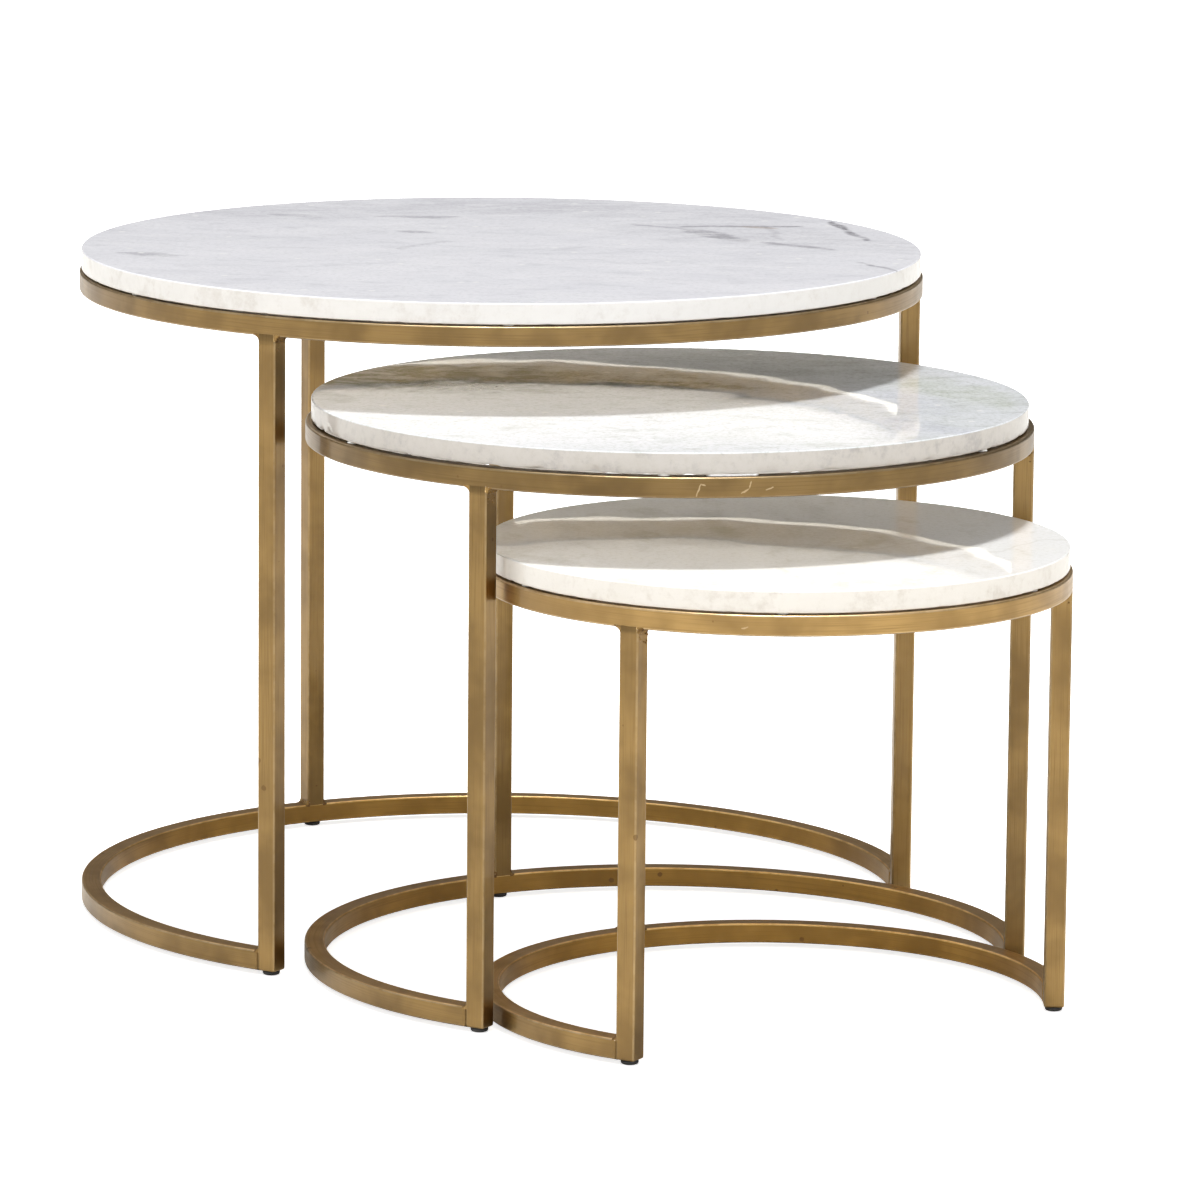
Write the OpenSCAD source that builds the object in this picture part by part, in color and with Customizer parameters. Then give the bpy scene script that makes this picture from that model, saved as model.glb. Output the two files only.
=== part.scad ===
// Three round nesting tables: marble tops on square-bar frames that slide under one another.

/* [Large table] */
// Outside diameter of the large table's ring
large_d = 600; // [480:5:720]
// Height of the large table, floor to the top of its slab
large_h = 474; // [380:1:600]
// How far the large ring stands out past its slab
large_lip = 1.5; // [0.5:0.5:6]
// Angle from the open side's centre line to each front leg of the large table
large_front_angle = 63; // [58:0.5:72]
// How far the large table's back leg stands off the centre line
large_back_turn = -2.2; // [-6:0.1:6]
// Turn of the large table against the line the set is pulled out along
large_turn = 3.6; // [0:0.1:5]

/* [Middle table] */
// How far the middle ring stands out past its slab
middle_lip = 4; // [0.5:0.5:6]
// Angle from the open side's centre line to each front leg of the middle table
middle_front_angle = 59.5; // [58:0.5:72]
// How far the middle table's back leg stands off the centre line
middle_back_turn = 0.5; // [-6:0.1:6]
// Turn of the middle table against the line the set is pulled out along
middle_turn = 0.5; // [0:0.1:5]
// How far the middle table is pulled out of the large one
middle_out = 236.8; // [0:0.1:330]

/* [Small table] */
// How far the small ring stands out past its slab
small_lip = 2; // [0.5:0.5:6]
// Angle from the open side's centre line to each front leg of the small table
small_front_angle = 60; // [50:0.5:72]
// How far the small table's back leg stands off the centre line
small_back_turn = 0; // [-6:0.1:6]
// Turn of the small table against the line the set is pulled out along
small_turn = 1.6; // [-5:0.1:5]
// How far the small table is pulled out of the middle one
small_out = 150; // [0:0.1:250]

/* [Nesting clearances] */
// Gap on each side where a ring passes between the next table's front legs
nest_gap = 2.15; // [1.5:0.05:15]
// Height between a slab and the ring of the next table over it
step_gap = 47; // [10:0.5:60]

/* [Marble slabs] */
// Thickness of each marble slab
slab_t = 14.5; // [10:0.5:24]
// Radius of the eased edges of a slab
slab_edge_r = 1; // [0.5:0.25:3]

/* [Square bar] */
// Side of the square bar that rings, legs and base arcs are made of
bar_w = 14; // [11:0.5:14]
// Radius of the bar's long corners
bar_edge_r = 1.5; // [0.5:0.25:2]

/* [Pads under the slab] */
// Number of pads between a slab and its ring
pad_count = 6; // [3:1:12]
// Diameter of a pad
pad_d = 8; // [5:0.5:9]
// Height of a pad, which is the gap between ring and slab
pad_h = 1.2; // [0.8:0.1:3]

/* [Glides] */
// Diameter of a glide's foot
glide_d = 12; // [9:0.5:12]
// Height of a glide's foot under the bar
glide_h = 3; // [2:0.5:6]
// Diameter of the glide's stem
stem_d = 4; // [3:0.25:6]
// Length of the stem inside the bar
stem_l = 8; // [5:0.5:9]
// Clearance between a stem and its hole
stem_gap = 0.15; // [0.1:0.05:0.4]

/* [Welds] */
// Leg of the fillet welds under a ring
ring_weld_r = 4; // [2:0.5:6]
// Leg of the fillet welds on a base arc
base_weld_r = 3; // [2:0.5:5]

/* [Hidden] */
$fn = 96;

brass = [0.62, 0.50, 0.29];
weld_brass = [0.55, 0.44, 0.26];
white_marble = [0.90, 0.89, 0.90];
grey_marble = [0.72, 0.74, 0.72];
cream_marble = [0.88, 0.84, 0.77];
clear_rubber = [0.85, 0.85, 0.83];
black_rubber = [0.06, 0.06, 0.06];

front = -90;                        // the open side of every table faces -Y
cut_margin = 1;                     // how far a cutter stands past what it cuts
bar_z = glide_h;                    // underside of the bars that stand on glides
bar_flat = bar_w - 2 * bar_edge_r;  // flat part of each face of the bar
top_stack = slab_t + pad_h + bar_w; // a slab, its pads and its ring

// Half the clear width between two front legs of a ring of diameter d.
function half_mouth(d, angle) = (d - bar_w) / 2 * sin(angle)
    - bar_flat / 2 * (sin(angle) + cos(angle)) - bar_edge_r;

// How far to the side the middle of the mouth moves when a table is turned.
function mouth_side(d, angle, turn) = (d - bar_w) / 2 * cos(angle) * sin(turn);

// Each table passes between the legs of the next larger one, and under its ring.
middle_d = 2 * (half_mouth(large_d, large_front_angle) - nest_gap);
small_d = 2 * (half_mouth(middle_d, middle_front_angle) - nest_gap);
middle_h = large_h - top_stack - step_gap;
small_h = middle_h - top_stack - step_gap;
middle_side = mouth_side(large_d, large_front_angle, large_turn);
small_side = mouth_side(middle_d, middle_front_angle, middle_turn);

// The set runs from the back of the large ring to the front of the small one.
set_back = large_d / 2;
set_front = -middle_out - small_out - small_d / 2;
large_y = -(set_back + set_front) / 2;

// A table is [ring diameter, height, lip, front leg angle, back leg turn, place, turn].
LARGE = [
    large_d, large_h, large_lip, large_front_angle, large_back_turn,
    [0, large_y], large_turn
];
MIDDLE = [
    middle_d, middle_h, middle_lip, middle_front_angle, middle_back_turn,
    [middle_side, large_y - middle_out], middle_turn
];
SMALL = [
    small_d, small_h, small_lip, small_front_angle, small_back_turn,
    [middle_side + small_side, large_y - middle_out - small_out], small_turn
];
D = 0;
H = 1;
LIP = 2;
FRONT = 3;
BACK = 4;
PLACE = 5;
TURN = 6;

function left_angle(t) = front - t[FRONT];
function right_angle(t) = front + t[FRONT];
function back_angle(t) = front + 180 + t[BACK];
function leg_angles(t) = [left_angle(t), right_angle(t), back_angle(t)];
function bar_r(t) = t[D] / 2 - bar_w / 2;                 // centre line of ring, legs and arc
function slab_z(t) = t[H] - slab_t;
function ring_top(t) = slab_z(t) - pad_h;
function ring_z(t) = t[H] - top_stack;

// Puts a table's parts where the table stands.
module stand(t) {
    translate([t[PLACE][0], t[PLACE][1], 0])
        rotate(t[TURN])
            children();
}

// Turns to a leg: +X points outward, the bar's centre is at the origin.
module at_leg(t, angle) {
    rotate(angle)
        translate([bar_r(t), 0, 0])
            children();
}

// Section of the square bar, centred, with its long corners rounded.
module bar_section() {
    square([bar_w, bar_flat], center = true);
    square([bar_flat, bar_w], center = true);
    for (x = [-1, 1], y = [-1, 1])
        translate([x * bar_flat / 2, y * bar_flat / 2])
            circle(r = bar_edge_r);
}

// A full hoop of bar whose underside is at z.
module hoop(t, z) {
    translate([0, 0, z + bar_w / 2])
        rotate_extrude()
            translate([bar_r(t), 0])
                bar_section();
}

// The hole that takes a glide's stem, at the bar's centre.
module stem_hole() {
    translate([0, 0, bar_z - cut_margin])
        cylinder(d = stem_d + 2 * stem_gap, h = stem_l + stem_gap + cut_margin);
}

// A straight upright bar from z to the ring's underside.
module upright(t, angle, z) {
    at_leg(t, angle)
        translate([0, 0, z])
            linear_extrude(ring_z(t) - z)
                bar_section();
}

// A front leg stands on its own glide, beside the end of the base arc.
module front_leg(t, angle) {
    color(brass)
        stand(t)
            difference() {
                upright(t, angle, bar_z);
                at_leg(t, angle) stem_hole();
            }
}

// The back leg stands on top of the base arc.
module back_leg(t) {
    color(brass)
        stand(t)
            upright(t, back_angle(t), bar_z + bar_w);
}

module ring(t) {
    color(brass)
        stand(t)
            hoop(t, ring_z(t));
}

// What the base arc leaves out: the open side and the front legs.
module open_side(t) {
    reach = t[D];
    translate([0, 0, bar_z - cut_margin])
        linear_extrude(bar_w + 2 * cut_margin) {
            polygon([
                [0, 0],
                [reach * cos(left_angle(t)), reach * sin(left_angle(t))],
                [0, -reach / cos(t[FRONT] / 2)],
                [reach * cos(right_angle(t)), reach * sin(right_angle(t))]
            ]);
            for (angle = [left_angle(t), right_angle(t)])
                rotate(angle)
                    translate([bar_r(t), 0])
                        square([bar_w + 2 * cut_margin, bar_w], center = true);
        }
}

module base_arc(t) {
    color(brass)
        stand(t)
            difference() {
                hoop(t, bar_z);
                open_side(t);
                at_leg(t, back_angle(t)) stem_hole();
            }
}

// A concave fillet weld in the corner between a leg's side and a face at z.
// side is -1 or 1 along the arc, up is -1 below a face or 1 above it.
module fillet_weld(r, z, side, up) {
    translate([0, side * bar_w / 2, z])
        scale([1, side, up])
            rotate([90, 0, 90])
                linear_extrude(bar_flat, center = true)
                    difference() {
                        square(r);
                        translate([r, r]) circle(r = r);
                    }
}

module welds(t) {
    color(weld_brass)
        stand(t) {
            for (angle = leg_angles(t), side = [-1, 1])
                at_leg(t, angle)
                    fillet_weld(ring_weld_r, ring_z(t), side, -1);
            for (side = [-1, 1])
                at_leg(t, back_angle(t))
                    fillet_weld(base_weld_r, bar_z + bar_w, side, 1);
            at_leg(t, left_angle(t))
                fillet_weld(base_weld_r, bar_z + bar_w, -1, 1);
            at_leg(t, right_angle(t))
                fillet_weld(base_weld_r, bar_z + bar_w, 1, 1);
        }
}

// A polished disc with eased edges.
module slab(t, tint) {
    r = t[D] / 2 - t[LIP];
    color(tint)
        stand(t)
            translate([0, 0, slab_z(t)])
                rotate_extrude() {
                    square([r - slab_edge_r, slab_t]);
                    translate([0, slab_edge_r])
                        square([r, slab_t - 2 * slab_edge_r]);
                    for (z = [slab_edge_r, slab_t - slab_edge_r])
                        translate([r - slab_edge_r, z])
                            circle(r = slab_edge_r);
                }
}

module pads(t) {
    color(clear_rubber)
        stand(t)
            for (i = [0 : pad_count - 1])
                rotate(front + (i + 0.5) * 360 / pad_count)
                    translate([bar_r(t), 0, ring_top(t)])
                        cylinder(d = pad_d, h = pad_h);
}

module glides(t) {
    color(black_rubber)
        stand(t)
            for (angle = leg_angles(t))
                at_leg(t, angle) {
                    cylinder(d = glide_d, h = glide_h);
                    cylinder(d = stem_d, h = glide_h + stem_l);
                }
}

slab(LARGE, white_marble);  // large_top
pads(LARGE);  // large_pads
ring(LARGE);  // large_ring
front_leg(LARGE, left_angle(LARGE));  // large_left_leg
front_leg(LARGE, right_angle(LARGE));  // large_right_leg
back_leg(LARGE);  // large_back_leg
base_arc(LARGE);  // large_base_arc
welds(LARGE);  // large_welds
glides(LARGE);  // large_glides

slab(MIDDLE, grey_marble);  // middle_top
pads(MIDDLE);  // middle_pads
ring(MIDDLE);  // middle_ring
front_leg(MIDDLE, left_angle(MIDDLE));  // middle_left_leg
front_leg(MIDDLE, right_angle(MIDDLE));  // middle_right_leg
back_leg(MIDDLE);  // middle_back_leg
base_arc(MIDDLE);  // middle_base_arc
welds(MIDDLE);  // middle_welds
glides(MIDDLE);  // middle_glides

slab(SMALL, cream_marble);  // small_top
pads(SMALL);  // small_pads
ring(SMALL);  // small_ring
front_leg(SMALL, left_angle(SMALL));  // small_left_leg
front_leg(SMALL, right_angle(SMALL));  // small_right_leg
back_leg(SMALL);  // small_back_leg
base_arc(SMALL);  // small_base_arc
welds(SMALL);  // small_welds
glides(SMALL);  // small_glides
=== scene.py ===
# Three round nesting tables: marble slabs on brass square-bar frames.
import math
import random

import bmesh
import bpy
from mathutils import Matrix, Vector, noise


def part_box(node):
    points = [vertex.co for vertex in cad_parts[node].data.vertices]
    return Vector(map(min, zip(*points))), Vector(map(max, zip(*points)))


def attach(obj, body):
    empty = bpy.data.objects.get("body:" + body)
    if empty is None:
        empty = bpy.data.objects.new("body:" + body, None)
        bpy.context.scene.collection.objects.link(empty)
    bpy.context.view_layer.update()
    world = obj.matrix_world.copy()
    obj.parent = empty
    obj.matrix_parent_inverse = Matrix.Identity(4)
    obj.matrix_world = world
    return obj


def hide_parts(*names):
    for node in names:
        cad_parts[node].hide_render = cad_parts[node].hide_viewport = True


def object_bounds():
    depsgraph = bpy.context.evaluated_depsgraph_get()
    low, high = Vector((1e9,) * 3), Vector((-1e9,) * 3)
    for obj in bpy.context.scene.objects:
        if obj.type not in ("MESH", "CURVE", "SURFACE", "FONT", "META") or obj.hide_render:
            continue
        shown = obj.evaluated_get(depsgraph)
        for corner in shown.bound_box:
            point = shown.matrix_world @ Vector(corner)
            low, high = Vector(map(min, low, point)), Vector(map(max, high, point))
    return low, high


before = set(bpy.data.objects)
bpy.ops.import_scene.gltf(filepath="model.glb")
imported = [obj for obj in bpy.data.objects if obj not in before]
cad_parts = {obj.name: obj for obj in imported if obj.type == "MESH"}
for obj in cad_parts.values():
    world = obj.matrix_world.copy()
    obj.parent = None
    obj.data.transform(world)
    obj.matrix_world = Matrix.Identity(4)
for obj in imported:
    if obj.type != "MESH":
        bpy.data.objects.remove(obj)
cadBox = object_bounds()
scene = bpy.context.scene
tableNames = ("large", "middle", "small")
mm = 0.001
quarterTurn = math.pi / 2


cameraLook = {
    "azimuth": -28.135,         # degrees round the set, 0 looks along +Y
    "elevation": 10.02,
    "roll": -0.516,
    "distance": 5.0982,
    "aimLift": 0.0047,          # above the middle of the set's height
    "aim": (0.0048, -0.0016),
    "lens": 218.32,
    "sensor": 36,
}


def placeCamera(look):
    turn, rise, roll = (math.radians(look[key]) for key in ("azimuth", "elevation", "roll"))
    ahead = Vector((-math.sin(turn) * math.cos(rise), math.cos(turn) * math.cos(rise), -math.sin(rise)))
    side = Vector((math.cos(turn), math.sin(turn), 0))
    down = ahead.cross(side)
    right = math.cos(roll) * side + math.sin(roll) * down
    up = math.sin(roll) * side - math.cos(roll) * down
    aim = Vector((*look["aim"], (cadBox[0].z + cadBox[1].z) / 2 + look["aimLift"]))
    data = bpy.data.cameras.new("camera")
    data.lens, data.sensor_width = look["lens"], look["sensor"]
    data.clip_start, data.clip_end = 0.1, 100
    camera = bpy.data.objects.new("camera", data)
    scene.collection.objects.link(camera)
    camera.matrix_world = Matrix((
        (right.x, up.x, -ahead.x, 0), (right.y, up.y, -ahead.y, 0),
        (right.z, up.z, -ahead.z, 0), (0, 0, 0, 1)))
    camera.location = aim - ahead * look["distance"]
    scene.camera = camera
    return ahead


lookAhead = placeCamera(cameraLook)
print("camera placed")


def plug(tree, socket, value):
    if isinstance(value, bpy.types.NodeSocket):
        tree.links.new(value, socket)
    else:
        socket.default_value = value


def plugAll(tree, sockets, values):
    for key, value in values.items():
        plug(tree, sockets[key], value)


def addNode(tree, kind, inputs=None, **settings):
    node = tree.nodes.new(kind)
    for key, value in settings.items():
        setattr(node, key, value)
    plugAll(tree, node.inputs, inputs or {})
    return node


def calc(tree, operation, *values):
    return addNode(tree, "ShaderNodeMath", dict(enumerate(values)), operation=operation).outputs[0]


def times(tree, first, second):
    return calc(tree, "MULTIPLY", first, second)


def minus(tree, first, second):
    return calc(tree, "SUBTRACT", first, second)


def vectorCalc(tree, operation, first, second=None, scale=None):
    inputs = {0: first}
    if second is not None:
        inputs[1] = second
    if scale is not None:
        inputs["Scale"] = scale
    node = addNode(tree, "ShaderNodeVectorMath", inputs, operation=operation)
    return node.outputs["Value" if operation in ("LENGTH", "DOT_PRODUCT") else 0]


def scaled(tree, vector, scale):
    return vectorCalc(tree, "SCALE", vector, scale=scale)


def axesOf(tree, vector):
    return addNode(tree, "ShaderNodeSeparateXYZ", {0: vector}).outputs


def vectorOf(tree, x, y, z):
    return addNode(tree, "ShaderNodeCombineXYZ", {0: x, 1: y, 2: z}).outputs[0]


def clamped(tree, value):
    return addNode(tree, "ShaderNodeClamp", {0: value}).outputs[0]


def fade(tree, value, low, high, start=0.0, end=1.0):
    return addNode(tree, "ShaderNodeMapRange", {
        "Value": value, "From Min": low, "From Max": high, "To Min": start, "To Max": end},
        interpolation_type="SMOOTHSTEP").outputs["Result"]


def noiseAt(tree, vector, scale, detail=3.0, roughness=0.5, distortion=0.0):
    return addNode(tree, "ShaderNodeTexNoise", {
        "Vector": vector, "Scale": scale, "Detail": detail, "Roughness": roughness,
        "Distortion": distortion}).outputs[0]


def wobbleAt(tree, vector, scale, reach):   # a smooth random shift, up to half the reach
    inputs = {"Vector": vector, "Scale": scale, "Detail": 4.0}
    color = addNode(tree, "ShaderNodeTexNoise", inputs).outputs["Color"]
    return scaled(tree, vectorCalc(tree, "SUBTRACT", color, (0.5, 0.5, 0.5)), reach)


def blend(tree, factor, first, second):
    node = addNode(tree, "ShaderNodeMix", data_type="RGBA", blend_type="MIX")
    for socket, value in zip((node.inputs[0], node.inputs[6], node.inputs[7]), (factor, first, second)):
        plug(tree, socket, (*value, 1) if isinstance(value, tuple) else value)
    return node.outputs[2]


def newGroup(name, inputs, masks=""):    # a shader group puts out masks, a geometry tree its mesh
    tree = bpy.data.node_groups.new(name, "ShaderNodeTree" if masks else "GeometryNodeTree")
    outputs = [(label, "Float") for label in masks.split()] or [("Geometry", "Geometry")]
    for side, sockets in (("INPUT", inputs), ("OUTPUT", outputs)):
        for label, socketType, *default in sockets:
            socket = tree.interface.new_socket(name=label, in_out=side, socket_type="NodeSocket" + socketType)
            if default:
                socket.default_value = default[0]
    return tree, tree.nodes.new("NodeGroupInput").outputs, tree.nodes.new("NodeGroupOutput").inputs


def useGroup(tree, group, inputs):
    return addNode(tree, "ShaderNodeGroup", inputs, node_tree=group).outputs


def bumped(tree, height, distance, strength, **under):
    inputs = {"Height": height, "Distance": distance, "Strength": strength, **under}
    return addNode(tree, "ShaderNodeBump", inputs).outputs[0]


def newMaterial(name):
    material = bpy.data.materials.new(name)
    material.use_nodes = True
    tree = material.node_tree
    tree.nodes.clear()
    shader = tree.nodes.new("ShaderNodeBsdfPrincipled")
    output = tree.nodes.new("ShaderNodeOutputMaterial")
    tree.links.new(shader.outputs[0], output.inputs[0])
    place = addNode(tree, "ShaderNodeTexCoord").outputs["Object"]
    return material, tree, shader.inputs, place


def makeGrainGroup():
    tree, given, made = newGroup("drawnGrain", [
        ("Position", "Vector"), ("Face", "Vector"), ("Fineness", "Float", 900.0),
        ("Drift", "Float", 14.0), ("Mottle Scale", "Float", 40.0), ("Ding Scale", "Float", 70.0)],
        "Streaks Mottle Dings Waves")
    place = given["Position"]
    across = scaled(tree, given["Face"], given["Fineness"])
    along = scaled(tree, place, given["Drift"])
    cells = addNode(tree, "ShaderNodeTexVoronoi", {"Vector": place, "Scale": given["Ding Scale"]})
    dingSize, raggedness, softness = 0.16, 0.12, 0.03      # shares of a cell
    ragged = times(tree, noiseAt(tree, place, 300.0, 2.0), raggedness)
    chance = addNode(tree, "ShaderNodeSeparateColor", {0: cells.outputs["Color"]}).outputs[0]
    spot = minus(tree, calc(tree, "ADD", cells.outputs["Distance"], ragged), times(tree, chance, dingSize))
    plugAll(tree, made, {
        "Streaks": noiseAt(tree, vectorCalc(tree, "ADD", across, along), 1.0, 3.0, 0.65),
        "Mottle": noiseAt(tree, place, given["Mottle Scale"], 3.0, 0.5, 0.2),
        "Dings": fade(tree, spot, 0.0, softness, 1.0, 0.0),
        "Waves": noiseAt(tree, place, 11.0, 1.0)})
    return tree


# A mask for lightened edges: partly rubbed plating, partly a painted highlight on the rounded edges.
def makeEdgeWearAndHighlightGroup():
    tree, given, made = newGroup("edgeWearAndHighlight", [
        ("Position", "Vector"), ("Face", "Vector"), ("Half Width", "Float", 0.007),
        ("Wear Width", "Float", 0.0016), ("Patchiness", "Float", 0.6)], "Edge")
    axes = axesOf(tree, given["Face"])
    nearer = calc(tree, "MINIMUM", calc(tree, "ABSOLUTE", axes[0]), calc(tree, "ABSOLUTE", axes[1]))
    inner = minus(tree, given["Half Width"], given["Wear Width"])
    outer = calc(tree, "ADD", inner, times(tree, given["Wear Width"], 0.6))
    patch = fade(tree, noiseAt(tree, given["Position"], 60.0, 4.0, 0.7), 0.35, 0.62)
    kept = minus(tree, 1.0, times(tree, given["Patchiness"], minus(tree, 1.0, patch)))
    plug(tree, made["Edge"], times(tree, fade(tree, nearer, inner, outer), kept))
    return tree


def makeStoneGroup():
    tree, given, made = newGroup("stoneFigure", [
        ("Position", "Vector"), ("Cloud Scale", "Float", 6.0), ("Warp", "Float", 0.06),
        ("Vein Scale", "Float", 5.0), ("Vein Width", "Float", 0.012), ("Grain Scale", "Float", 500.0),
        ("Patch Scale", "Float", 45.0), ("Stretch", "Float", 3.0)],
        "Clouds Veins Grain Patches Specks Ripple")
    place = given["Position"]
    bent = vectorCalc(tree, "ADD", place, wobbleAt(tree, place, given["Cloud Scale"], given["Warp"]))
    axes = axesOf(tree, bent)
    drawn = vectorOf(tree, axes[0], times(tree, axes[1], given["Stretch"]), axes[2])
    ridge = calc(tree, "ABSOLUTE", minus(tree, noiseAt(tree, drawn, given["Vein Scale"], 5.0, 0.55), 0.5))
    breaks = fade(tree, noiseAt(tree, bent, 9.0, 3.0), 0.45, 0.62)
    cells = addNode(tree, "ShaderNodeTexVoronoi", {"Vector": place, "Scale": 42.0}, voronoi_dimensions="2D")
    chance = addNode(tree, "ShaderNodeSeparateColor", {0: cells.outputs["Color"]}).outputs[1]
    near = fade(tree, cells.outputs["Distance"], 0.06, 0.14, 1.0, 0.0)
    plugAll(tree, made, {
        "Clouds": noiseAt(tree, drawn, given["Cloud Scale"], 7.0, 0.58),
        "Veins": times(tree, breaks, fade(tree, ridge, 0.0, given["Vein Width"], 1.0, 0.0)),
        "Grain": noiseAt(tree, place, given["Grain Scale"], 4.0, 0.75),
        "Patches": noiseAt(tree, drawn, given["Patch Scale"], 8.0, 0.68),
        "Specks": times(tree, near, fade(tree, chance, 0.90, 0.93)),       # only one cell in ten has a speck
        "Ripple": noiseAt(tree, place, 13.0, 1.0)})
    return tree


def makeStrokeGroup():
    tree, given, made = newGroup("veinStroke", [
        ("Position", "Vector"), ("Start", "Vector"), ("End", "Vector"), ("Width", "Float", 0.004),
        ("Softness", "Float", 0.006), ("Wobble", "Float", 0.01), ("Wobble Scale", "Float", 35.0),
        ("Seen Axes", "Vector", (1, 1, 0))], "Mask")
    place = given["Position"]
    moved = vectorCalc(tree, "ADD", place, wobbleAt(tree, place, given["Wobble Scale"], given["Wobble"]))
    reach = vectorCalc(tree, "SUBTRACT", given["End"], given["Start"])
    fromStart = vectorCalc(tree, "SUBTRACT", moved, given["Start"])
    fromStart = vectorCalc(tree, "MULTIPLY", fromStart, given["Seen Axes"])
    share = clamped(tree, calc(tree, "DIVIDE", vectorCalc(tree, "DOT_PRODUCT", fromStart, reach),
                               vectorCalc(tree, "DOT_PRODUCT", reach, reach)))
    away = vectorCalc(tree, "LENGTH", vectorCalc(tree, "SUBTRACT", fromStart, scaled(tree, reach, share)))
    taper = times(tree, times(tree, share, minus(tree, 1.0, share)), 4.0)
    width = times(tree, given["Width"], taper)
    outer = calc(tree, "ADD", width, given["Softness"])
    plug(tree, made["Mask"], fade(tree, away, width, outer, 1.0, 0.0))
    return tree


grainGroup, edgeWearAndHighlightGroup, stoneGroup, strokeGroup = makeGrainGroup(), makeEdgeWearAndHighlightGroup(), makeStoneGroup(), makeStrokeGroup()
print("shader groups built")


brassLook = {
    "color": (0.415, 0.262, 0.095),
    "shade": (0.272, 0.168, 0.060),
    "wornAndHighlight": (0.74, 0.57, 0.34),
    # dark dings, and also the painted shade line along a bent bar's lower edge
    "stainAndShade": (0.17, 0.095, 0.035),
    "roughness": (0.34, 0.46),
    "lacquer": {"Coat Weight": 0.28, "Coat Roughness": 0.06},
    "grain": {"Fineness": 1100.0, "Drift": 16.0, "Mottle Scale": 22.0, "Ding Scale": 58.0},
    "wearAndHighlight": {"bent": 0.7, "leg": 0.3},        # how much the edges are lightened: rubbed-off plating, and partly a painted highlight along the rounded edges
    "tones": {                       # how light the ring, the legs and the base arc are; the arc's lower value is partly painted shade, the darker floor it faces
        "large": (0.74, 0.82, 0.72), "middle": (0.58, 0.76, 0.72), "small": (1.14, 0.88, 0.80)},
    "arcInnerPaintedLight": (1.5, 1.36, 0.95),   # painted light: the base arcs' inner faces are made warmer and lighter
    "arcTopPaintedLight": (1.9, 1.8, 1.7),       # painted light: the arcs' tops are made paler, as if lit from above
    "ringInnerPaintedLight": (1.3, 1.42, 1.6),    # painted light: the rings' inner walls are made lighter and greyer, for how they show reflected in the slab below
    "under": (0.86, 0.78, 0.66),      # painted reflection: the rings' undersides are made pale, like the bright floor they face
    "lowEdgePaintedShade": 0.75,                  # painted shade: how dark the line along a bent bar's lower edge is
    "barWidth": 0.014,
    "scuffs": {                      # on a ring: angle and mm above its underside, twice, and the width
        "middle": [(-114.6, 2, -113.9, 10, 0.25), (-113.9, 10, -113.2, 8.5, 0.2), (-107.8, 3, -106.6, 6.5, 0.3),
                   (-106.6, 6.5, -106.3, 11, 0.2), (-104.0, 5, -102.8, 7, 0.2)],
        "small": [(-126.0, 5, -124.8, 6, 0.2)],
    },
    "scuffLook": {"Softness": 0.5 * mm, "Wobble": 2.0 * mm, "Wobble Scale": 260.0, "Seen Axes": (1, 1, 1)},
}


# Besides their tones, this paints light and shade on rings and arcs: lighter inner walls and arc tops, pale undersides,
# a dark lower edge line.
def paintBentBar(tree, look, name, place, face, tone):     # rings and arcs: their own tones, faces and lower edge
    ringLow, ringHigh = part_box(name + "_ring")
    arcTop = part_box(name + "_base_arc")[1].z
    onArc = fade(tree, axesOf(tree, place)[2], arcTop + 1 * mm, arcTop + 4 * mm, 1.0, 0.0)
    # the arc's tone is partly painted shade, darker near the floor
    ringTone, arcToneAndShade = look["tones"][name][0::2]
    tone = scaled(tree, tone, fade(tree, onArc, 0.0, 1.0, ringTone, arcToneAndShade))
    outward, downward = axesOf(tree, face)[0:2]
    reach = look["barWidth"] / 2
    offFace, onFace = 1.0 * mm - reach, 0.1 * mm - reach       # a face's tint fades in over these
    onInner = fade(tree, outward, offFace, onFace)
    # painted light on the inner faces of the rings and arcs
    innerPaintedLight = blend(tree, onArc, look["ringInnerPaintedLight"], look["arcInnerPaintedLight"])
    tone = blend(tree, onInner, tone, vectorCalc(tree, "MULTIPLY", tone, innerPaintedLight))
    # painted light on the arcs' tops
    onTop = times(tree, onArc, fade(tree, downward, offFace, onFace))
    tone = blend(tree, onTop, tone, vectorCalc(tree, "MULTIPLY", tone, look["arcTopPaintedLight"]))
    # painted reflection: the undersides take a pale colour
    underPaintedReflection = minus(tree, fade(tree, downward, reach - 0.3 * mm, reach - 0.05 * mm), onArc)
    tone = blend(tree, clamped(tree, underPaintedReflection), tone, look["under"])
    # painted shade: a dark line along the lower rounded edge
    lowEdgePaintedShade = times(tree, fade(tree, downward, reach - 1.0 * mm, reach - 0.3 * mm),
                    fade(tree, downward, reach - 0.05 * mm, reach, 1.0, 0.0))
    tone = blend(tree, times(tree, lowEdgePaintedShade, look["lowEdgePaintedShade"]), tone, look["stainAndShade"])
    centre, radius = (ringLow + ringHigh) / 2, (ringHigh.x - ringLow.x) / 2
    for *ends, width in look["scuffs"].get(name, ()):
        start, end = (
            Vector((centre.x + math.cos(math.radians(angle)) * radius,
                    centre.y + math.sin(math.radians(angle)) * radius, ringLow.z + rise * mm))
            for angle, rise in (ends[:2], ends[2:]))
        mask = useGroup(tree, strokeGroup, {
            "Position": place, "Start": start, "End": end, "Width": width * mm, **look["scuffLook"]})["Mask"]
        tone = blend(tree, times(tree, mask, 0.5), tone, look["wornAndHighlight"])
    return tone


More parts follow.
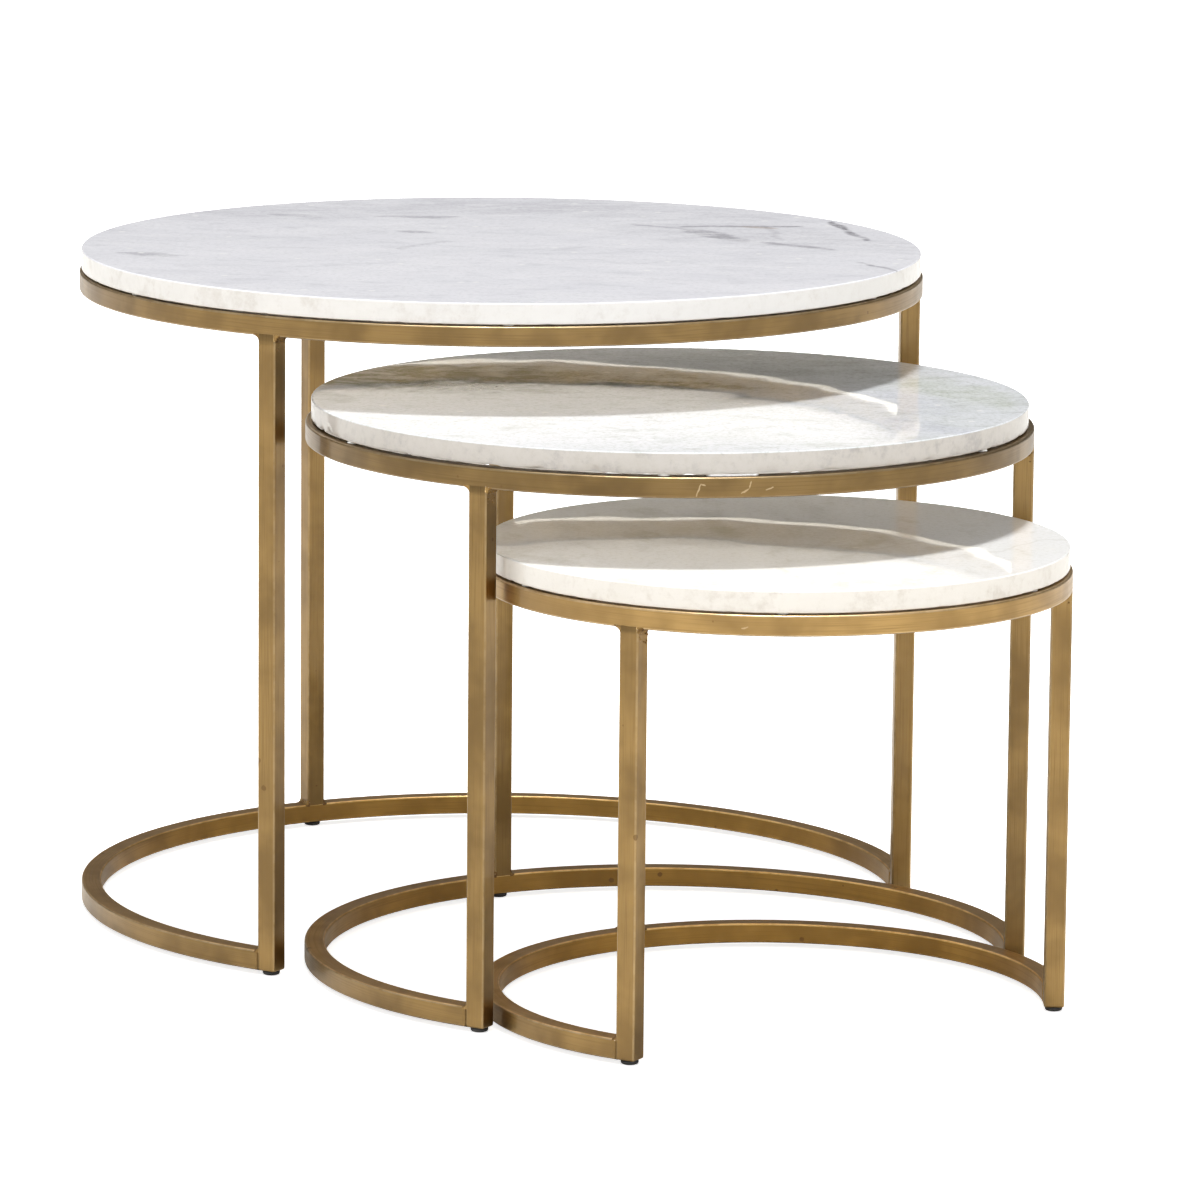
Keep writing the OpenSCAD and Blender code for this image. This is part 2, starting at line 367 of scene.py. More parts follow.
def makeBrass(look, name, kind):
    material, tree, shader, place = newMaterial(f"{name}{kind.capitalize()}Brass")
    face = addNode(tree, "ShaderNodeAttribute", attribute_name="barFace").outputs["Vector"]
    grain = useGroup(tree, grainGroup, {"Position": place, "Face": face, **look["grain"]})
    edge = useGroup(tree, edgeWearAndHighlightGroup, {"Position": place, "Face": face, "Half Width": look["barWidth"] / 2})["Edge"]
    tone = blend(tree, fade(tree, grain["Mottle"], 0.32, 0.70), look["color"], look["shade"])
    tone = blend(tree, fade(tree, grain["Streaks"], 0.46, 0.74, 0.0, 0.75), tone, look["shade"])
    # lighter edges: rubbed plating and partly a painted highlight
    tone = blend(tree, times(tree, edge, look["wearAndHighlight"][kind]), tone, look["wornAndHighlight"])
    if kind == "bent":
        tone = paintBentBar(tree, look, name, place, face, tone)
    else:
        tone = scaled(tree, tone, look["tones"][name][1])
    spread = calc(tree, "ADD", times(tree, grain["Streaks"], 0.5), times(tree, grain["Mottle"], 0.5))
    waves = bumped(tree, grain["Waves"], 0.8 * mm, 1.0)
    scored = minus(tree, grain["Streaks"], times(tree, grain["Dings"], 0.8))
    plugAll(tree, shader, {
        "Base Color": blend(tree, times(tree, grain["Dings"], 0.7), tone, look["stainAndShade"]),
        "Metallic": 1.0, "Roughness": fade(tree, spread, 0.3, 0.7, *look["roughness"]),
        "Normal": bumped(tree, scored, 0.06 * mm, 0.6, Normal=waves), "Coat Normal": waves, **look["lacquer"]})
    return material


weldLook = {
    "color": (0.33, 0.205, 0.075),
    "shade": (0.19, 0.11, 0.042),
    "bright": (0.90, 0.78, 0.58),
    "grain": {"Drift": 900.0, "Mottle Scale": 260.0, "Ding Scale": 420.0},
}


def makeWeldBrass(look):
    material, tree, shader, place = newMaterial("brassWeld")
    grain = useGroup(tree, grainGroup, {"Position": place, "Face": (0, 0, 0), **look["grain"]})
    tone = blend(tree, fade(tree, grain["Mottle"], 0.35, 0.65), look["color"], look["shade"])
    plugAll(tree, shader, {
        "Base Color": blend(tree, fade(tree, grain["Streaks"], 0.6, 0.78, 0.0, 0.8), tone, look["bright"]),
        "Metallic": 1.0, "Roughness": fade(tree, grain["Mottle"], 0.3, 0.7, 0.28, 0.5),
        "Normal": bumped(tree, grain["Mottle"], 0.6 * mm, 0.7)})
    return material


rubberLooks = {
    "black": {"color": (0.018, 0.018, 0.018), "shade": (0.05, 0.048, 0.045), "roughness": 0.5, "clearness": 0.0},
    "clear": {"color": (0.86, 0.86, 0.84), "shade": (0.72, 0.72, 0.69), "roughness": 0.3, "clearness": 0.15},
}


def makeRubber(name, look):
    material, tree, shader, place = newMaterial(name + "Rubber")
    grain = useGroup(tree, grainGroup, {
        "Position": place, "Face": (0, 0, 0), "Drift": 500.0, "Mottle Scale": 300.0, "Ding Scale": 300.0})
    tone = blend(tree, fade(tree, grain["Mottle"], 0.35, 0.7), look["color"], look["shade"])
    smooth = look["roughness"]
    plugAll(tree, shader, {
        "Base Color": blend(tree, times(tree, grain["Dings"], 0.5), tone, look["shade"]),
        "Roughness": fade(tree, grain["Mottle"], 0.3, 0.7, smooth, smooth + 0.15),
        "Normal": bumped(tree, grain["Streaks"], 0.1 * mm, 0.5), "Transmission Weight": look["clearness"]})
    return material


bentBrass = {name: makeBrass(brassLook, name, "bent") for name in tableNames}
legBrass = {name: makeBrass(brassLook, name, "leg") for name in tableNames}
brassWeld = makeWeldBrass(weldLook)
blackRubber, clearRubber = (makeRubber(name, look) for name, look in rubberLooks.items())
print("metal and rubber materials built")


# Each look's under colour is painted light: the slab's underside made warmer, for the light the brass and floor throw
# up at it.
stoneLooks = {
    "large": {
        "name": "whiteMarble", "slot": "white_marble",
        "light": (0.93, 0.93, 0.98), "mid": (0.845, 0.847, 0.905), "dark": (0.58, 0.58, 0.63),
        "vein": (0.20, 0.195, 0.225), "brown": (0.42, 0.31, 0.20), "speck": (1.0, 1.0, 1.0),
        "edge": (0.87, 0.845, 0.80), "edgeShade": (0.75, 0.71, 0.65), "under": (0.93, 0.87, 0.79),
        "figure": {"Cloud Scale": 7.0, "Warp": 0.05, "Vein Scale": 5.0, "Stretch": 2.6, "Grain Scale": 260.0,
                   "Patch Scale": 30.0},
        "cloudFade": (0.30, 0.74), "veinStrength": 0.10, "patches": (0.42, 0.30), "grain": 0.44,
        "roughness": (0.035, 0.07),
    },
    "middle": {
        "name": "greyMarble", "slot": "grey_marble",
        "light": (0.815, 0.835, 0.885), "mid": (0.77, 0.795, 0.82), "dark": (0.42, 0.445, 0.40),
        "vein": (0.235, 0.25, 0.195), "green": (0.52, 0.57, 0.44), "mauve": (0.60, 0.61, 0.72),
        "pale": (0.86, 0.82, 0.74), "speck": (0.95, 0.95, 0.94),
        "edge": (0.62, 0.575, 0.52), "edgeShade": (0.44, 0.405, 0.375), "under": (0.95, 0.90, 0.83),
        "figure": {"Cloud Scale": 6.5, "Warp": 0.10, "Vein Scale": 6.0, "Stretch": 1.8, "Grain Scale": 300.0,
                   "Patch Scale": 34.0},
        "cloudFade": (0.36, 0.70), "veinStrength": 0.22, "patches": (0.48, 0.25), "grain": 0.60,
        "roughness": (0.012, 0.035),
    },
    "small": {
        "name": "creamMarble", "slot": "cream_marble",
        "light": (0.96, 0.965, 0.975), "mid": (0.92, 0.92, 0.905), "dark": (0.62, 0.60, 0.52),
        "vein": (0.45, 0.42, 0.33), "speck": (0.96, 0.95, 0.92),
        "edge": (0.88, 0.835, 0.765), "edgeShade": (0.72, 0.66, 0.58), "under": (0.93, 0.87, 0.79),
        "figure": {"Cloud Scale": 5.0, "Warp": 0.07, "Vein Scale": 4.0, "Stretch": 0.6, "Grain Scale": 280.0,
                   "Patch Scale": 26.0},
        "cloudFade": (0.35, 0.72), "veinStrength": 0.18, "patches": (0.55, 0.30), "grain": 0.40,
        "roughness": (0.010, 0.03),
    },
}
# Veins and clouds laid on each slab, in mm from its centre, with y pointing away from the camera:
# start, end, width, softness, wobble, strength, and the colour's name in the stone's look.
stoneStrokes = {
    "large": [
        ((130, 128), (214, 136), 1.2, 6, 16, 0.9, "vein"),
        ((176, 130), (196, 124), 3.0, 6, 12, 0.8, "brown"),
        ((92, 142), (140, 108), 0.7, 6, 14, 0.5, "vein"),
        ((134, 108), (174, 46), 5.0, 10, 22, 0.85, "vein"),
        ((188, 38), (238, 2), 2.0, 6, 22, 0.75, "vein"),
        ((238, 164), (248, 122), 2.0, 3.5, 10, 1.0, "vein"),
        ((248, 124), (262, 56), 1.2, 3.5, 12, 1.0, "vein"),
        ((250, -64), (278, -108), 0.8, 3, 16, 0.6, "vein"),
        ((190, 130), (200, 60), 0.6, 5, 18, 0.35, "vein"),
        ((-168, 178), (-140, 172), 3.0, 9, 20, 0.5, "vein"),
        ((-92, 170), (-36, 172), 3.0, 8, 20, 0.5, "vein"),
        ((-72, 88), (-54, 80), 2.0, 8, 14, 0.5, "vein"),
        ((-262, -50), (-226, -60), 3.0, 9, 26, 0.55, "vein"),
        ((-40, 30), (-70, -10), 0.6, 6, 22, 0.25, "vein"),
        ((110, 125), (255, 40), 22.0, 60, 70, 0.42, "dark"),
        ((-230, 190), (60, 235), 14.0, 60, 90, 0.40, "dark"),
        ((-40, 260), (180, 190), 10.0, 50, 80, 0.35, "dark"),
    ],
    "middle": [
        ((-240, 96), (-80, 54), 34.0, 44, 100, 0.95, "vein"),
        ((-232, 60), (-96, 40), 10.0, 20, 60, 0.9, "vein"),
        ((-150, 120), (30, 66), 12.0, 34, 90, 0.75, "vein"),
        ((-30, 70), (60, 44), 6.0, 20, 60, 0.7, "vein"),
        ((-238, 10), (-226, -30), 6.0, 12, 24, 0.6, "vein"),
        ((-122, 112), (-116, 92), 3.0, 5, 10, 0.8, "pale"),
        ((-190, 172), (-130, 166), 9.0, 14, 30, 0.7, "pale"),
        ((176, 96), (200, 0), 9.0, 24, 50, 0.55, "green"),
        ((216, 60), (226, -40), 5.0, 18, 40, 0.5, "green"),
        ((150, -100), (190, -150), 7.0, 20, 50, 0.5, "mauve"),
        ((150, 20), (180, -60), 7.0, 24, 50, 0.4, "mauve"),
        ((30, 190), (150, 120), 20.0, 60, 90, 0.45, "dark"),
    ],
    "small": [
        ((-44, 120), (-36, 34), 2.0, 12, 26, 0.35, "vein"),
        ((20, 160), (44, 60), 3.0, 14, 30, 0.22, "vein"),
        ((70, 20), (96, -60), 1.0, 8, 20, 0.16, "vein"),
        ((-150, 60), (60, 20), 12.0, 50, 70, 0.30, "dark"),
        ((-180, -60), (-120, -112), 1.5, 12, 26, 0.25, "vein"),
    ],
}
viewTurn = math.radians(cameraLook["azimuth"])


def centreOf(node):
    low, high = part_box(node)
    return (low + high) / 2


def makeMarble(name, look, strokes):
    material, tree, shader, place = newMaterial(look["name"])
    centred = addNode(tree, "ShaderNodeMapping", {
        "Vector": place, "Location": centreOf(name + "_top"), "Rotation": (0, 0, viewTurn)},
        vector_type="TEXTURE").outputs[0]
    stone = useGroup(tree, stoneGroup, {"Position": centred, **look["figure"]})
    clouds, patches = stone["Clouds"], stone["Patches"]
    low, high = look["cloudFade"]
    darker, lighter = look["patches"]
    layers = [                           # how much of a colour goes over the ones before it
        (fade(tree, clouds, low, high), "mid"),
        (fade(tree, clouds, high - 0.06, high + 0.16), "dark"),
        (times(tree, stone["Veins"], look["veinStrength"]), "vein"),
        (fade(tree, patches, 0.5, 0.72, 0.0, darker), "dark"),
        (fade(tree, patches, 0.5, 0.3, 0.0, lighter), "speck")]
    flecks = times(tree, fade(tree, stone["Grain"], 0.36, 0.62, 0.6, 1.0),
                   fade(tree, patches, 0.36, 0.56, 0.35, 1.0))
    for start, end, width, softness, wobble, strength, colorName in strokes:
        mask = useGroup(tree, strokeGroup, {
            "Position": centred, "Start": Vector((*start, 0)) * mm, "End": Vector((*end, 0)) * mm,
            "Width": width * mm, "Softness": softness * mm, "Wobble": wobble * mm})["Mask"]
        layers.append((times(tree, times(tree, mask, flecks), strength), colorName))
    layers.append((fade(tree, stone["Grain"], 0.44, 0.74, 0.0, look["grain"]), "dark"))
    layers.append((times(tree, stone["Specks"], 0.9), "speck"))
    tone = look["light"]
    for amount, colorName in layers:
        tone = blend(tree, amount, tone, look[colorName])
    height = axesOf(tree, place)[2]
    low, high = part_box(name + "_top")
    side = fade(tree, height, high.z - 1.0 * mm, high.z - 0.4 * mm, 1.0, 0.0)
    below = fade(tree, height, low.z + 0.2 * mm, low.z + 1.0 * mm, 1.0, 0.0)
    sawn = fade(tree, noiseAt(tree, centred, 120.0, 5.0, 0.7), 0.35, 0.75)
    blotch = fade(tree, noiseAt(tree, centred, 28.0, 4.0, 0.6), 0.48, 0.72)
    stained = fade(tree, calc(tree, "ADD", sawn, blotch), 0.3, 1.7)
    cut = blend(tree, stained, look["edge"], look["edgeShade"])
    tone = blend(tree, times(tree, side, 0.85), tone, cut)
    polish = fade(tree, clouds, 0.3, 0.7, *look["roughness"])
    ground = calc(tree, "ADD", times(tree, side, 0.12), times(tree, below, 0.4))
    # painted light: the underside takes the warmer under colour
    plugAll(tree, shader, {
        "Base Color": blend(tree, below, tone, look["under"]),
        "Roughness": calc(tree, "ADD", polish, ground), "Normal": bumped(tree, stone["Ripple"], 0.22 * mm, 1.0)})
    return material


marbles = {name: makeMarble(name, stoneLooks[name], stoneStrokes[name]) for name in tableNames}
print("marble materials built")


def addPiece(name, mesh, material=None):
    piece = bpy.data.objects.new(name, mesh)
    scene.collection.objects.link(piece)
    if material:
        mesh.materials.append(material)
    return piece


def seatPiece(name, part, mesh, node, material=None):      # a table's piece, in place of its CAD node
    mesh.name = name + part
    piece = addPiece(name + part, mesh, material)
    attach(piece, name + "_table")
    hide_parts(f"{name}_{node}")


def evenNormals(mesh):              # normals weighted by area keep the bars' wide faces flat
    sums = [Vector() for _ in mesh.vertices]
    for face in mesh.polygons:
        for index in face.vertices:
            sums[index] += face.normal * face.area
    mesh.polygons.foreach_set("use_smooth", [True] * len(mesh.polygons))
    upright = Vector((0, 0, 1))
    mesh.normals_split_custom_set_from_vertices([
        total.normalized() if total.length > 0 else upright for total in sums])
    mesh.update()


def fillMesh(bm, mesh):
    bmesh.ops.recalc_face_normals(bm, faces=bm.faces)
    bm.to_mesh(mesh)
    bm.free()
    evenNormals(mesh)
    return mesh


def bridge(bm, loops, capped=False):   # faces between neighbouring loops; one point alone is a pole
    for one, two in zip(loops, loops[1:]):
        count = max(len(one), len(two))
        for k in range(count):
            j = (k + 1) % count
            corners = one[k % len(one)], one[j % len(one)], two[j % len(two)], two[k % len(two)]
            bm.faces.new(list(dict.fromkeys(corners)))
    if capped:
        bm.faces.new(loops[0])
        bm.faces.new(loops[-1][::-1])


def growMesh(tree, values):
    host = addPiece("growing", bpy.data.meshes.new("growing"))
    modifier = host.modifiers.new("shape", "NODES")
    modifier.node_group = tree
    for item in tree.interface.items_tree:
        if item.item_type == "SOCKET" and item.in_out == "INPUT" and item.name in values:
            modifier[item.identifier] = values[item.name]
    grown = host.evaluated_get(bpy.context.evaluated_depsgraph_get())
    mesh = bpy.data.meshes.new_from_object(grown)
    host.modifiers.clear()
    bpy.data.objects.remove(host)
    evenNormals(mesh)
    return mesh


barShape = {
    "width": 14 * mm,
    "edge": 1.5 * mm,
    "cornerCuts": 5,
    "unevenness": 0.14 * mm,     # slow wander of the hand-bent bar
    "ringSteps": 320,
    "arcSteps": 224,
    "legSteps": 60,
    "footRound": 1.6 * mm,
}
skinSockets = [("Bar Width", "Float", 0.014), ("Edge Radius", "Float", 0.0015), ("Corner Cuts", "Int", 4),
               ("Unevenness", "Float", 0.0001), ("Seed", "Float", 0.0), ("Material", "Material")]


def step(tree, kind, inputs=None, **settings):       # a geometry node, by its first output
    return addNode(tree, "GeometryNode" + kind, inputs, **settings).outputs[0]


def endInMesh(tree, geometry, given, made):
    whole = addNode(tree, "GeometryNodeRealizeInstances", {"Geometry": geometry}).outputs[0]
    painted = addNode(tree, "GeometryNodeSetMaterial", {"Geometry": whole, "Material": given["Material"]})
    plug(tree, made["Geometry"], painted.outputs[0])
    return tree


def makeSkinGroup():
    tree, given, made = newGroup("squareBarSkin", [("Path", "Geometry"), ("Scale", "Float", 1.0)] + skinSockets)
    wander = addNode(tree, "ShaderNodeTexNoise", {
        "W": given["Seed"], "Scale": 9.0, "Detail": 1.0}, noise_dimensions="4D").outputs["Color"]
    shift = scaled(tree, vectorCalc(tree, "SUBTRACT", wander, (0.5, 0.5, 0.5)), given["Unevenness"])
    shaken = step(tree, "SetPosition", {"Geometry": given["Path"], "Offset": shift})
    square = step(tree, "CurvePrimitiveQuadrilateral", {"Width": given["Bar Width"], "Height": given["Bar Width"]})
    rounded = step(tree, "FilletCurve", {
        "Curve": square, "Radius": given["Edge Radius"], "Count": given["Corner Cuts"]}, mode="POLY")
    marked = step(tree, "StoreNamedAttribute", {
        "Geometry": rounded, "Name": "barFace", "Value": step(tree, "InputPosition")},
        data_type="FLOAT_VECTOR", domain="POINT")
    swept = step(tree, "CurveToMesh", {
        "Curve": shaken, "Profile Curve": marked, "Scale": given["Scale"], "Fill Caps": True})
    return endInMesh(tree, swept, given, made)


skinGroup = makeSkinGroup()


def skinPath(tree, given, path, scale=1.0):
    return step(tree, "Group", {
        "Path": path, "Scale": scale, **{label: given[label] for label, *_ in skinSockets}}, node_tree=skinGroup)


def makeBentBarTree():
    tree, given, made = newGroup("bentBar", [
        ("Centre", "Vector"), ("Radius", "Float", 0.25), ("Start Angle", "Float"), ("Sweep Angle", "Float", 3.0),
        ("Closed", "Bool", False), ("Steps", "Int", 200)] + skinSockets)
    circle = step(tree, "CurvePrimitiveCircle", {
        "Resolution": given["Steps"], "Radius": given["Radius"]}, mode="RADIUS")
    arc = step(tree, "CurveArc", {
        "Resolution": given["Steps"], "Radius": given["Radius"], "Start Angle": given["Start Angle"],
        "Sweep Angle": given["Sweep Angle"]}, mode="RADIUS")
    path = step(tree, "Switch", {"Switch": given["Closed"], "False": arc, "True": circle}, input_type="GEOMETRY")
    upright = step(tree, "SetCurveNormal", {"Curve": path}, mode="Z_UP")
    moved = step(tree, "Transform", {"Geometry": upright, "Translation": given["Centre"]})
    return endInMesh(tree, skinPath(tree, given, moved), given, made)


def makeLegTree():
    tree, given, made = newGroup("straightLeg", [
        ("Foot", "Vector"), ("Height", "Float", 0.4), ("Turn", "Float"), ("Foot Round", "Float", 0.0015),
        ("Steps", "Int", 60)] + skinSockets)
    line = step(tree, "CurvePrimitiveLine", {"Start": (0, 0, 0), "End": (0, 0, 1)})
    cut = step(tree, "ResampleCurve", {"Curve": line, "Count": given["Steps"]})
    index = step(tree, "InputIndex")
    roundCuts = 5.0                   # steps spent on the rounded end
    bend = times(tree, calc(tree, "MINIMUM", calc(tree, "DIVIDE", index, roundCuts), 1.0), quarterTurn)
    low = times(tree, given["Foot Round"], minus(tree, 1.0, calc(tree, "COSINE", bend)))
    rest = calc(tree, "MAXIMUM", calc(tree, "DIVIDE", minus(tree, index, roundCuts),
                                      minus(tree, given["Steps"], roundCuts + 1)), 0.0)
    high = times(tree, rest, minus(tree, given["Height"], given["Foot Round"]))
    placed = step(tree, "SetPosition", {
        "Geometry": cut, "Position": vectorOf(tree, 0.0, 0.0, calc(tree, "ADD", low, high))})
    squared = step(tree, "SetCurveNormal", {"Curve": placed, "Normal": (1, 0, 0)}, mode="FREE")
    inset = times(tree, given["Foot Round"], minus(tree, 1.0, calc(tree, "SINE", bend)))
    scale = minus(tree, 1.0, calc(tree, "DIVIDE", inset, times(tree, given["Bar Width"], 0.5)))
    stood = step(tree, "Transform", {
        "Geometry": skinPath(tree, given, squared, scale), "Translation": given["Foot"],
        "Rotation": vectorOf(tree, 0.0, 0.0, given["Turn"])})
    return endInMesh(tree, stood, given, made)


bentBarTree, legTree = makeBentBarTree(), makeLegTree()
commonBar = {
    "Bar Width": barShape["width"], "Edge Radius": barShape["edge"], "Corner Cuts": barShape["cornerCuts"],
    "Unevenness": barShape["unevenness"]}


def frameOf(name):                  # a table's sizes, read from its CAD nodes
    low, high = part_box(name + "_ring")
    centre = Vector(((low.x + high.x) / 2, (low.y + high.y) / 2, 0))
    legs = {}
    for side in ("left", "right", "back"):
        at = centreOf(f"{name}_{side}_leg") - centre
        legs[side] = math.atan2(at.y, at.x)
    return {"centre": centre, "path": (high.x - low.x) / 2 - barShape["width"] / 2,
            "under": low.z, "floor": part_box(name + "_base_arc")[0].z, "legs": legs}


frames = {name: frameOf(name) for name in tableNames}


def outwardAt(angle):
    return Vector((math.cos(angle), math.sin(angle), 0))


def onCircle(size, angle, z):
    return size["centre"] + outwardAt(angle) * size["path"] + Vector((0, 0, z))


half, edge = barShape["width"] / 2, barShape["edge"]
for seed, name in enumerate(tableNames):
    size = frames[name]
    bent = {**commonBar, "Material": bentBrass[name], "Radius": size["path"]}
    seatPiece(name, "RingBar", growMesh(bentBarTree, {
        **bent, "Centre": tuple(size["centre"] + Vector((0, 0, size["under"] + half))), "Closed": True,
        "Steps": barShape["ringSteps"], "Seed": seed * 10.0}), "ring")
    reach = math.asin((half - edge) / size["path"])       # the arc runs into the legs' rounded edges
    start, end = size["legs"]["right"] + reach, size["legs"]["left"] - reach
    seatPiece(name, "BaseArcBar", growMesh(bentBarTree, {
        **bent, "Centre": tuple(size["centre"] + Vector((0, 0, size["floor"] + half))), "Start Angle": start,
        "Sweep Angle": (end - start) % (2 * math.pi), "Steps": barShape["arcSteps"],
        "Seed": seed * 10.0 + 3}), "base_arc")
    for count, (side, angle) in enumerate(size["legs"].items()):
        node = side + "_leg"
        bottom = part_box(f"{name}_{node}")[0].z - (edge if side == "back" else 0)   # the back leg stands on the arc
        seatPiece(name, side.capitalize() + "LegBar", growMesh(legTree, {
            **commonBar, "Material": legBrass[name], "Foot": tuple(onCircle(size, angle, bottom)),
            "Height": size["under"] + edge - bottom, "Turn": angle, "Foot Round": barShape["footRound"],
            "Steps": barShape["legSteps"], "Seed": seed * 10.0 + 5 + count}), node)
print("bars swept")


weldShape = {
    "ringLeg": 4.0 * mm,
    "baseLeg": 3.0 * mm,
    "ripple": 0.22 * mm,
    "ripplePace": 2.4,              # radians for each mm across the bar
    "rough": 0.9 * mm,
    "neatShare": 0.3,               # how rough the hidden sides are, beside the open ones
    "specks": 16,
    "speckDrop": 9.0 * mm,
    "speckSize": (0.35 * mm, 0.95 * mm),
    "arcCuts": 9,
    "acrossCuts": 22,
    "edgeCuts": 4,
}


def addGusset(bm, shape, at, directions, leg, rough, seed):
    outward, away, up = directions   # at is the inside corner at mid depth; away and up point off the two bars
    flat = half - edge
    turns = [quarterTurn * k / shape["edgeCuts"] for k in range(shape["edgeCuts"], 0, -1)]
    roundEnd = [(-flat - edge * math.sin(turn), edge * (1 - math.cos(turn))) for turn in turns]
    stops = roundEnd + [(-flat + 2 * flat * k / shape["acrossCuts"], 0.0) for k in range(shape["acrossCuts"] + 1)]
    stops += [(-depth, inset) for depth, inset in reversed(roundEnd)]
    loops = []
    for depth, inset in stops:
        corner = at + outward * depth
        middle = corner + away * leg + up * leg
        buried = [corner - away * edge - up * edge, corner - away * edge + up * leg, corner - up * edge + away * leg]
        loop = [*buried[:2], middle - away * (leg + inset)]
        for k in range(1, shape["arcCuts"]):
            turn = quarterTurn * k / shape["arcCuts"]
            wave = math.sin(depth / mm * shape["ripplePace"] + seed) * shape["ripple"]
            lump = noise.noise(Vector((depth * 700, k * 0.8, seed * 7.3))) * rough
            radius = leg + inset - (lump + wave) * math.sin(2 * turn)
            loop.append(middle - away * radius * math.cos(turn) - up * radius * math.sin(turn))
        loop += [middle - up * (leg + inset), buried[2]]
        loops.append([bm.verts.new(spot) for spot in loop])
    bridge(bm, loops, capped=True)


def addSpatter(bm, at, size, rng):
    made = bmesh.ops.create_icosphere(bm, subdivisions=1, radius=size, matrix=Matrix.Translation(at))
    for vert in made["verts"]:
        vert.co += Vector((rng.uniform(-1, 1), rng.uniform(-1, 1), rng.uniform(-1, 1))) * size * 0.25


rng = random.Random(7)
shape = weldShape
for name in tableNames:
    size = frames[name]
    bm = bmesh.new()
    for number, (side, angle) in enumerate(size["legs"].items()):
        outward = outwardAt(angle)
        legAt = onCircle(size, angle, 0)
        for sign in (-1, 1):
            away = Vector((-math.sin(angle), math.cos(angle), 0)) * sign
            foot = legAt + away * half - outward * (half * half / (2 * size["path"]))
            openSide = (side == "left" and sign == 1) or (side == "right" and sign == -1)
            rough = shape["rough"] * (1.0 if openSide else shape["neatShare"])
            addGusset(bm, shape, foot + Vector((0, 0, size["under"])), (outward, away, Vector((0, 0, -1))),
                      shape["ringLeg"], rough, number * 2 + sign)
            for speck in range(shape["specks"] if openSide else 0):     # spatter left on the open side
                depth = rng.uniform(-0.8, 0.8) * half
                drop = rng.uniform(0.1, 1.0) ** 1.5 * shape["speckDrop"] + shape["ringLeg"] * 0.4
                spot = legAt + away * (half - 0.05 * mm) + outward * depth + Vector((0, 0, size["under"] - drop))
                addSpatter(bm, spot, rng.uniform(*shape["speckSize"]), rng)
            if side == "back" or (side == "right") == (sign == 1):      # toward the arc
                addGusset(bm, shape, foot + Vector((0, 0, size["floor"] + barShape["width"])),
                          (outward, away, Vector((0, 0, 1))), shape["baseLeg"], rough, number * 3 + sign)
    mesh = fillMesh(bm, bpy.data.meshes.new("welds"))
    seatPiece(name, "WeldBeads", mesh, "welds", brassWeld)
print("welds laid")


slabShape = {
    "segments": 540,
    "edgeCuts": 5,
    "sideCuts": 5,
    "rounding": 1.0 * mm,
    "faceRows": (0.3, 0.6, 0.85, 0.96),        # shares of the radius
    "wander": 0.12 * mm,                       # the rim is this far from true
    "wanderScale": 5,
    "chips": {"large": 0.4 * mm, "middle": 1.6 * mm, "small": 0.4 * mm},
    "chipScale": 110,
    "chipRarity": 0.12,
    "chipGain": 2.2,
}


def makeSlabMesh(name, shape, seed):
    low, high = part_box(name + "_top")
    centre, radius = (low + high) / 2, (high.x - low.x) / 2
    rounding, sideCuts, chip = shape["rounding"], shape["sideCuts"], shape["chips"][name] * shape["chipGain"]
    turns = [quarterTurn * k / shape["edgeCuts"] for k in range(shape["edgeCuts"] + 1)]
    tall, inner = high.z - low.z - 2 * rounding, radius - rounding
    rows = [(radius * share, high.z, 0) for share in shape["faceRows"]]         # reach, height, share of chips
    rows += [(inner + rounding * math.sin(turn), high.z - rounding + rounding * math.cos(turn), 0) for turn in turns]
    rows += [(radius, high.z - rounding - tall * k / sideCuts, k / sideCuts if k == sideCuts - 1 else 0)
             for k in range(1, sideCuts)]
    rows += [(inner + rounding * math.cos(turn), low.z + rounding - rounding * math.sin(turn), 1) for turn in turns]
    rows += [(radius * share, low.z, 0) for share in reversed(shape["faceRows"])]
    bm = bmesh.new()
    loops = []
    for level, (reach, z, chipped) in enumerate(rows):
        loop = []
        for k in range(shape["segments"]):
            away = outwardAt(2 * math.pi * k / shape["segments"])
            wave = noise.noise(away * shape["wanderScale"] + Vector((0, 0, seed))) * shape["wander"]
            lump = noise.noise(away * radius * shape["chipScale"] + Vector((0, 0, seed * 5 + level * 0.25)))
            bite = max(0.0, lump - shape["chipRarity"]) * chip * chipped
            spot = centre + away * (reach + (wave - abs(wave) if reach > inner - 2 * mm else 0) - bite)
            loop.append(bm.verts.new((spot.x, spot.y, z + (bite * 0.5 if z < centre.z else 0))))
        loops.append(loop)
    top, bottom = ([bm.verts.new((centre.x, centre.y, z))] for z in (high.z, low.z))
    bridge(bm, [top, *loops, bottom])
    return fillMesh(bm, bpy.data.meshes.new("slab"))


for seed, name in enumerate(tableNames):
    slab = makeSlabMesh(name, slabShape, seed + 1.5)
    seatPiece(name, "Slab", slab, "top", marbles[name])
print("slabs cut")


